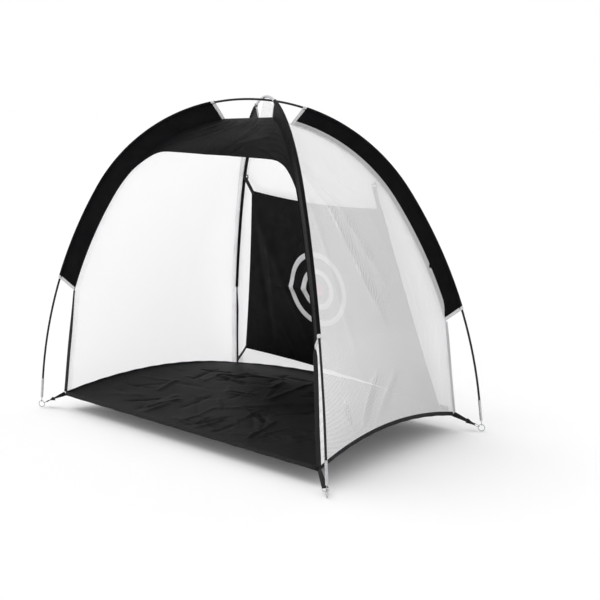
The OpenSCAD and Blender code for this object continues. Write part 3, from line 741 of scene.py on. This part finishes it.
def wall_grid(k, wrinkle, top=None):
    """Grid of a mesh wall between leg k and the next, from the hem up to the band tops."""
    following = (k + 1) % 4
    left, right = wall_edge(k, 0.0), wall_edge(following, 0.0)
    if top is not None:
        left, right = np.vstack([left, top]), np.vstack([right, top])
    a, b = leg_point(k, left, SEAM_V), leg_point(following, right, -SEAM_V)
    share = np.linspace(0, 1, WALL_COLUMNS + 1)
    rows = len(a)
    rise = np.arange(1, rows + 1) / rows
    grid = a[:, None] + (b - a)[:, None] * share[None, :, None]
    away = np.sin(math.pi * share)[None, :] * np.sin(math.pi * rise)[:, None]
    depth = away * SAGS[k] + wrinkle(share[None, :], rise[:, None])
    grid += depth[..., None] * INWARD[k]
    near = np.maximum(1 - 2.6 * rise, 0)[:, None] ** 2 * arch(share)[None, :]
    grid += near[..., None] * (PULLS[k] * INWARD[k] + LIFTS[k] * UP)
    foot_row = side_point(k, share, -(HEM_T / 2 + SEAM_GAP), SEAM_GAP)
    return np.concatenate([foot_row[None], grid])


def edge_hold(share, rise):
    """One in the middle of a wall, falling to nothing at its sewn edges."""
    beside = smooth_step(share * 9) * smooth_step((1 - share) * 9)
    return beside * smooth_step(rise * 12) * smooth_step((1 - rise) * 12)


# Folds of the right wall: start, end, width and height, in shares of the wall's run and rise
FAN_FOLDS = (
    ((0.12, 0.62), (0.54, 0.28), 0.012, 0.042),
    ((0.16, 0.64), (0.60, 0.34), 0.011, 0.034),
    ((0.03, 0.60), (0.36, 0.12), 0.014, 0.013),
    ((0.48, 0.60), (0.72, 0.42), 0.012, 0.014),
)
HEM_FOLDS = (
    ((0.27, 0.01), (0.20, 0.11), 0.010, 0.022),
    ((0.30, 0.01), (0.44, 0.14), 0.010, 0.026),
    ((0.42, 0.02), (0.58, 0.13), 0.010, 0.020),
)


def right_wrinkle(share, rise):
    """Long soft folds that fan down from the front band, and creases over the hem."""
    share, rise = np.broadcast_arrays(share, rise)
    folds = sum(ridge(share, rise, *fold) for fold in FAN_FOLDS + HEM_FOLDS)
    loose = crumple(share, rise, (0, 0), (1, 1), 4, 26, 0.4, 0.03, 0.006)
    return (folds + loose) * edge_hold(share, rise)


def loose_wrinkle(seed, height):
    """Maker of the soft creases of a wall that hangs without long folds."""

    def wrinkle(share, rise):
        share, rise = np.broadcast_arrays(share, rise)
        loose = crumple(share, rise, (0, 0), (1, 1), seed, 24, 0.6, 0.04, height)
        return loose * edge_hold(share, rise)

    return wrinkle


def wall_hems(k, name, grid):
    """Doubled strips of net along a wall's sewn edges, which look denser than the wall."""
    following = (k + 1) % 4
    pieces = []
    for leg, aside, tag in ((k, SEAM_V, "a"), (following, -SEAM_V, "b")):
        turn, lap = (wall_edge(leg, run)[TAPE_ROWS - 1 :] for run in (0.0, WALL_LAP))
        flat = np.stack([mix(turn, lap, s) for s in np.linspace(0, 1, HEM_COLUMNS + 1)], 1)
        points = leg_point(leg, flat, aside + LAP_RISE * np.sign(aside))
        pieces.append(cloth(f"{name}_lap_{tag}", points, net_hem))
    sides = (grid[:, :HEM_COLUMNS], grid[:, -HEM_COLUMNS:])
    for tag, part in zip("ab", sides):
        shift = grid_normals(part, False) * HEM_RISE
        pieces.append(cloth(f"{name}_edge_{tag}", part + shift, net_hem))
    if k == 1:
        pieces.append(make_fold_over(name, 2))
    return pieces


# Section of the net round a tape: shares of the tape's half width, and distances behind it
FOLD_SECTION = (
    (-0.2, -0.0035),
    (0.5, -0.0035),
    (1.04, -0.003),
    (1.12, 0.0),
    (1.04, 0.003),
    (0.5, 0.0035),
)


def make_fold_over(name, k):
    """Edge of a wall's net folded over the corner tape, which it hides from outside."""
    top, low = leg_point(k, tape_top(k)), leg_point(k, corner)
    path = resample([top, low], STRAP_STEP)
    half = WEB_W / 2
    lines = [path + np.array((x * half, y, 0)) for x, y in FOLD_SECTION]
    return cloth(f"{name}_fold", np.stack(lines, 1), net_hem)


def make_wall(k, name, wrinkle, top=None):
    """Net wall between leg k and the next, stretched between two bands, the tapes and the hem."""
    grid = wall_grid(k, wrinkle, top)
    wall = cloth(name + "_net", grid, net, replaced=[name])
    hems = wall_hems(k, name, grid)


# ---- valance ----

VALANCE_CELLS = (70, 160)


def make_valance():
    """Black cloth across the top of the open front, with drape, gathers at its ends and creases."""
    down, across = spans(*VALANCE_CELLS)
    across = 0.5 - 0.5 * np.cos(math.pi * across)
    low = VALANCE_LEFT + (VALANCE_RIGHT - VALANCE_LEFT) * across
    low = low - (low - VALANCE_TIP) * np.abs(2 * across - 1) ** VALANCE_FLARE
    sides = []
    for k, sign in ((0, 1), (1, -1)):
        start = float(top_angle(k, BAND_W)) - VALANCE_GAP
        angle = start + (low - start) * down
        sides.append(leg_point(k, pole_point(k, angle, BAND_W - SEAM_LAP), sign * SEAM_V))
    points = sides[0] + (sides[1] - sides[0]) * across[..., None]
    hold = np.sin(math.pi * across)
    drape = 0.009 * hold * (0.4 + 0.6 * down) * np.sin(math.tau * (1.6 * down + 0.9 * across))
    drape += 0.0045 * hold * np.sin(math.tau * (3 * across + 0.4 * down))
    gather = 0.0035 * smooth_step(hold * 4) * (1 - hold) ** 3
    gather = gather * np.sin(math.tau * (9 * down + 2.5 * across))
    crease = crumple(across * 1.6, down * 0.4, (0, 0), (1.6, 0.4), 3, 60, 0.5, 0.012, 0.006)
    points[..., 1] += drape + gather + crease * smooth_step(hold * 3)
    valance = cloth("valance_cloth", points, oxford, CLOTH_T, replaced=["valance"])


# ---- floor ----

FLOOR_CELLS = (170, 170)
HEM_POINTS = 40


def make_floor():
    """Black cloth stretched in the hem, sagging to its middle, with creases and pulled corners."""
    depth, width = spans(*FLOOR_CELLS)
    inset, rise = HEM_T / 2 + SEAM_GAP, -HEM_H / 4
    front, back = side_point(0, width, inset, rise), side_point(2, 1 - width, inset, rise)
    left, right = side_point(3, 1 - depth, inset, rise), side_point(1, depth, inset, rise)
    corners = [floor_corner(k, inset) for k in range(4)]
    flat = mix(mix(corners[0], corners[1], width), mix(corners[3], corners[2], width), depth)
    points = mix(front, back, depth) + mix(left, right, width) - flat - rise * UP
    inside = arch(width) * arch(depth)
    x, y = width * FLOOR_CREASES[0], depth * FLOOR_CREASES[1]
    crease = crumple(x, y, (0.2, 0.1), (2.3, 1.4), 21, 150, 0.4, 0.012, 0.012)
    ends = [FLOOR_CREASES * turn for turn in ((0, 0), (1, 0), (1, 1), (0, 1))]
    tension = sum(
        ridge(x, y, end, end * 0.6 + FLOOR_CREASES / 2 * 0.4, 0.03, 0.006) for end in ends
    )
    points[..., 2] += (crease + tension) * smooth_step(inside * 3) - FLOOR_SAG * inside**0.7
    floor = cloth("floor_cloth", points, oxford, CLOTH_T, replaced=["floor_sheet"])


def make_hem():
    """Tape round the floor's edge, sewn over the cloth and the net."""
    shares = np.linspace(0, 1, HEM_POINTS, endpoint=False)
    ring = np.concatenate([side_point(k, shares, 0.0, 0.0) for k in range(4)])
    wobble = HEM_WOBBLE * np.sin(np.arange(len(ring)) * 1.7)
    ring = ring + wobble[:, None] * UP
    drop = np.linspace(0, HEM_H, 6)
    points = ring[None] - drop[:, None, None] * UP
    cloth("hem_tape", points, strapping, HEM_T, wrap=True, replaced=["floor_hem"])


def make_tape(k):
    """Webbing from a band's lower inner corner to the floor corner, folded narrow at its top."""
    top = leg_point(k, tape_top(k)) - (SEAM_GAP + WEB_T / 2) * UP
    low = leg_point(k, corner) + SEAM_GAP * UP
    path = resample([top, low], STRAP_STEP)
    share = np.linspace(0, 1, len(path))
    path = path + (TAPE_BOW * np.sin(share * 7) * arch(share))[:, None] * RIGHT
    half = WEB_W / 4 * (1 + smooth_step(share / TAPE_NARROW[k]))
    points = ribbon(path, half[:, None] * RIGHT)
    replaced = [f"corner_tape_{LEGS[k]}"]
    cloth(f"tape_{LEGS[k]}", points, strapping, WEB_T, replaced=replaced)


def make_foot_strap(k):
    """Webbing from the floor corner, round the link's bar and sewn back on itself.

    It lies flat in the link and twists to stand nearly on edge at the corner.
    """
    start = leg_point(k, corner + np.array((HEM_T / 2 + SEAM_GAP + 0.0002, -HEM_H / 2)))
    run = bars[k] - start
    length = np.linalg.norm(run)
    run = run / length
    up = np.cross(run, leftward[k])
    up = up if up[2] > 0 else -up
    inner = LINK_BAR_R + LOOP_CLEAR + WEB_T / 2
    turn = np.linspace(math.radians(150), math.radians(-150), 16)
    loop = np.stack([inner * np.cos(turn), inner * np.sin(turn)], -1)
    out = [(-length, 0), (-0.02, 0), (-0.007, 0.001)]
    back = [(-0.007, -0.0018), (-0.02, -WEB_T), (-FOLD_L, -WEB_T)]
    flat = np.concatenate([out, loop, back])
    twist = STRAP_TWIST * smooth_step((-flat[:, :1] - TWIST_START) / TWIST_RUN)
    face = up * np.cos(twist) - leftward[k] * np.sin(twist)
    across = leftward[k] * np.cos(twist) + up * np.sin(twist)
    path = bars[k] + flat[:, :1] * run + flat[:, 1:] * face
    points = ribbon(path, across * WEB_W / 2)
    replaced = [f"foot_strap_{LEGS[k]}"]
    cloth(f"strap_{LEGS[k]}", points, strapping, FOOT_STRAP_T, replaced=replaced)


# ---- target ----

TARGET_CELLS = (120, 130)
PATCH_POINTS = 96
PATCH_RINGS = 8

low_y = float(leg_point(2, corner)[1]) - TARGET_FORE
TARGET_TILT = math.atan2(low_y - hinge[1], hinge[2] - TARGET_Z)
TARGET_L = math.hypot(low_y - hinge[1], hinge[2] - TARGET_Z)
STRAP_Y = -(SLIDER_BAR / 2 + LOOP_CLEAR)
SHEET_Y = STRAP_Y + SEAM_GAP + 0.0006
RINGS_DROP = (hinge[2] - RINGS_Z) / math.cos(TARGET_TILT)
HINGE_X = float(np.mean([abs(end.x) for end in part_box("target_slider_r")]))

# Folds of the target: start, end, width and height in its own frame
TARGET_FOLDS = (
    ((-0.66, -0.16), (-0.10, -1.30), 0.05, -0.010),
    ((-0.62, -0.14), (-0.55, -1.25), 0.03, 0.006),
    ((0.70, -0.14), (0.25, -1.30), 0.05, -0.008),
    ((-0.50, -RINGS_DROP), (-0.12, -RINGS_DROP - 0.01), 0.03, -0.022),
)


def on_target(x, y, z):
    """Points from the target's own frame: origin on the hinge line, and z negative down it."""
    c, s = math.cos(TARGET_TILT), math.sin(TARGET_TILT)
    x, y, z = np.broadcast_arrays(x, y, z)
    return np.stack([x, hinge[1] + y * c - z * s, hinge[2] + y * s + z * c], -1)


def target_depth(x, z):
    """How far the target's cloth lies behind or before its plane."""
    x, z = np.broadcast_arrays(np.asarray(x, float), np.asarray(z, float))
    folds = sum(ridge(x, z, *fold) for fold in TARGET_FOLDS)
    return folds + crumple(x, z, (-0.9, -1.4), (0.9, -0.1), 31, 60, 0.5, 0.02, 0.004)


def target_ends(down):
    """Left and right edges of the target, at a share of the way down."""
    down = np.asarray(down, float)
    left, right = (TARGET_TOP[i] + (TARGET_LOW[i] - TARGET_TOP[i]) * down for i in (0, 1))
    return -left, right


def target_hold(x, z, left, right):
    """One inside the target, falling to nothing at its sides and its top."""
    beside = smooth_step(np.minimum(right - x, x - left) / 0.12)
    return beside * smooth_step((-z - TARGET_DROP) / 0.1)


def make_target():
    """Target cloth with hollow edges and unequal corners, and the rings sewn on it."""
    down, across = spans(*TARGET_CELLS)
    side = 2 * across - 1
    left, right = target_ends(down)
    left, right = left + TARGET_HOLLOW * arch(down), right - TARGET_HOLLOW * arch(down)
    x = left + (right - left) * across
    top = -TARGET_DROP - side * TARGET_SKEW_TOP / 2 - TARGET_SAG * (1 - side**2)
    low = -TARGET_L - side * TARGET_SKEW_LOW / 2 + TARGET_RISE * (1 - side**2)
    z = top + (low - top) * down
    y = SHEET_Y + target_depth(x, z) * target_hold(x, z, left, right)
    sheet = cloth(
        "target_cloth",
        on_target(x, y, z),
        target_cloth,
        CLOTH_T,
        body="target",
        replaced=["target_sheet"],
    )
    rings = [
        make_patch(name, radius, radius - RING_BAND, ring_cloth, f"target_{name}")
        for name, radius in (("ring_outer", RING_OUT_R), ("ring_inner", RING_IN_R))
    ]
    rings.append(make_patch("bullseye", BULL_R, 0.0, bull_cloth, "target_bull"))


def make_patch(name, outer, inner, material, node):
    """Round patch sewn on the target's face, following its folds."""
    turns = np.linspace(0, math.tau, PATCH_POINTS + 1)[:-1]
    turn, across = np.meshgrid(turns, np.linspace(0, 1, PATCH_RINGS + 1), indexing="xy")
    radius = inner + (outer - inner) * across
    x, z = radius * np.cos(turn), radius * np.sin(turn) - RINGS_DROP
    left, right = target_ends((-z - TARGET_DROP) / (TARGET_L - TARGET_DROP))
    y = SHEET_Y - PATCH_FORE + target_depth(x, z) * target_hold(x, z, left, right)
    points = on_target(x, y, z)
    return cloth(name, points, material, PATCH_T, wrap=True, body="target", replaced=[node])


def make_top_strap(side, tag):
    """Webbing from a slider's lower bar to the target's top corner."""
    turn = np.linspace(math.radians(-100), math.radians(190), 18)
    loop = SLIDER_LOOP_R * np.stack([-np.cos(turn), np.sin(turn)], -1) - (0, SLIDER_H)
    width = SLIDER_W - SLIDER_BAR - 2 * LOOP_CLEAR
    end = -TARGET_DROP - side * TARGET_SKEW_TOP / 2 - FOLD_L / 2
    face = STRAP_Y - WEB_T / 2
    down = resample([(face, -SLIDER_H - 0.002), (face, end)], 0.01)
    flat = np.concatenate([loop[::-1], down])
    share = np.concatenate([np.zeros(len(loop)), np.linspace(0, 1, len(down))])
    x = side * (HINGE_X + (TARGET_TOP[side > 0] - width / 2 - HINGE_X) * share)
    path = on_target(x, flat[:, 0], flat[:, 1])
    points = ribbon(path, (width / 2, 0, 0))
    cloth(
        f"top_strap_{tag}",
        points,
        strapping,
        LOOPED_T,
        body="target",
        replaced=[f"target_strap_top_{tag}"],
    )


def make_tab(side, tag):
    """Webbing tab on a back band's inner edge, with the loop that holds a slider's bar."""
    k = 2 if side > 0 else 3
    angle = math.asin((hinge[2] + TAB_RISE - UPPER_C[k][1]) / (UPPER_R[k] - BAND_W))
    tip = leg_point(k, pole_point(k, angle, BAND_W + TAB_CLEAR))
    centre = np.array((side * HINGE_X, hinge[1], hinge[2]))
    turn = np.linspace(math.radians(110), math.radians(430), 22)
    circle = np.stack([np.zeros_like(turn), np.cos(turn), np.sin(turn)], -1)
    loop = centre + SLIDER_LOOP_R * circle
    rise = resample([tip, centre + (SLIDER_LOOP_R + WEB_T / 2) * UP], 0.004)
    path = np.concatenate([rise, loop])
    share = np.concatenate([np.linspace(0, 1, len(rise)), np.ones(len(loop))])
    points = ribbon(path, (TAB_W / 4 * (1 + share))[:, None] * RIGHT)
    replaced = [f"target_tab_{tag}"]
    cloth(f"tab_{tag}", points, strapping, LOOPED_T, replaced=replaced)


def make_low_strap(side, tag):
    """Webbing from the target's bottom corner back to the floor corner, bent by the target."""
    k = 2 if side > 0 else 3
    half = LOW_STRAP_W / 2
    skew = side * TARGET_SKEW_LOW / 2
    start_x = side * (TARGET_LOW[side > 0] - LOW_STRAP_IN)
    start_y = low_y + skew * math.sin(TARGET_TILT) + SHEET_Y + LOW_STRAP_BACK
    start_z = TARGET_Z + half - skew * math.cos(TARGET_TILT)
    start = np.array((start_x, start_y, start_z))
    seat = (-side * 0.003, -1.6 * WEB_T - SEAM_GAP, 2 * SEAM_GAP + half)
    end = floor_corner(k, 0) + np.array(seat)
    share = np.linspace(0, 1, 25)
    slack = LOW_STRAP_SLACK * np.linalg.norm(end - start)
    path = mix(start, end, share) - (slack * arch(share))[:, None] * UP
    points = ribbon(path, half * UP)
    strap = cloth(f"low_strap_{tag}", points, strapping, WEB_T, body=None)
    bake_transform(strap)
    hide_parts(f"target_strap_low_{tag}")


# ---- studio ----


def seen_rays(tree):
    """One for rays from the camera, gloss or glass, and nothing for the light on the object."""
    path = tree.nodes.new("ShaderNodeLightPath")
    total = path.outputs["Is Camera Ray"]
    for kind in ("Is Glossy Ray", "Is Transmission Ray"):
        node = tree.nodes.new("ShaderNodeMath")
        node.operation = "MAXIMUM"
        tree.links.new(total, node.inputs[0])
        tree.links.new(path.outputs[kind], node.inputs[1])
        total = node.outputs[0]
    return total


def make_ground():
    """White ground, which keeps the shadow and which the camera sees a little brighter."""
    mesh = bpy.data.meshes.new("ground")
    turns = ((-1, -1), (1, -1), (1, 1), (-1, 1))
    vertices = [(x * GROUND_REACH, y * GROUND_REACH, 0) for x, y in turns]
    mesh.from_pydata(vertices, [], [(0, 1, 2, 3)])
    n = Nodes("ground_white")
    n.set(Base_Color=GROUND_COLOR, Roughness=0.9, Specular_IOR_Level=0.1, Emission_Color=WHITE)
    glow = n.math("MULTIPLY", seen_rays(n.tree), GROUND_GLOW)
    n.link(glow, n.shader.inputs["Emission Strength"])
    mesh.materials.append(n.material)
    ground = bpy.data.objects.new("ground", mesh)
    bpy.context.scene.collection.objects.link(ground)


def make_lights():
    """Even white sky, weaker on the object than to the camera, and one broad key from the left."""
    world = bpy.data.worlds.new("studio")
    bpy.context.scene.world = world
    world.use_nodes = True
    sky = world.node_tree.nodes["Background"]
    sky.inputs["Color"].default_value = WHITE
    level = world.node_tree.nodes.new("ShaderNodeMath")
    level.operation = "MULTIPLY_ADD"
    world.node_tree.links.new(seen_rays(world.node_tree), level.inputs[0])
    level.inputs[1].default_value = 1 - SKY_LEVEL
    level.inputs[2].default_value = SKY_LEVEL
    world.node_tree.links.new(level.outputs[0], sky.inputs["Strength"])
    light = bpy.data.lights.new("key", "SUN")
    light.energy = KEY_ENERGY
    light.angle = KEY_SPREAD
    key = bpy.data.objects.new("key", light)
    key.location = KEY_PLACE
    key.rotation_euler = (KEY_AIM - key.location).to_track_quat("-Z", "Y").to_euler()
    bpy.context.scene.collection.objects.link(key)


def make_camera():
    """Camera on a sphere round its target, turned by the roll."""
    azimuth = math.radians(CAMERA_AZIMUTH_DEG)
    elevation = math.radians(CAMERA_ELEVATION_DEG)
    roll = math.radians(CAMERA_ROLL_DEG)
    level = math.cos(elevation)
    look = Vector((math.sin(azimuth) * level, math.cos(azimuth) * level, -math.sin(elevation)))
    right = look.cross(Vector(UP)).normalized()
    up = right.cross(look)
    across = math.cos(roll) * right + math.sin(roll) * up
    above = math.cos(roll) * up - math.sin(roll) * right
    data = bpy.data.cameras.new("camera")
    data.sensor_width = SENSOR_MM
    data.lens = LENS_MM
    camera = bpy.data.objects.new("camera", data)
    turn = Matrix((across, above, -look)).transposed().to_4x4()
    camera.matrix_world = Matrix.Translation(CAMERA_TARGET - look * CAMERA_DISTANCE) @ turn
    bpy.context.scene.collection.objects.link(camera)
    bpy.context.scene.camera = camera


# ---- the whole net ----

make_camera()
make_lights()
make_ground()
bpy.context.scene.view_settings.view_transform = "Standard"

paint_frame()
for leg in range(4):
    make_band(leg)
    make_seam(leg)
    make_trim(leg)
    make_tape(leg)
    make_foot_strap(leg)

crown = pole_point(0, math.acos((CROSS_RUN + CROWN_RUN) / UPPER_R[0]))
crown = crown - np.array((0, ROD_D / 2 + CROWN_DROP))
make_wall(1, "wall_right", right_wrinkle)
make_wall(2, "wall_back", loose_wrinkle(7, 0.003), top=crown)
make_wall(3, "wall_left", loose_wrinkle(11, 0.006))
make_valance()
make_floor()
make_hem()
for make_pair in (make_top_strap, make_tab):
    make_pair(1, "r")
    make_pair(-1, "l")
make_target()
make_low_strap(1, "r")
make_low_strap(-1, "l")
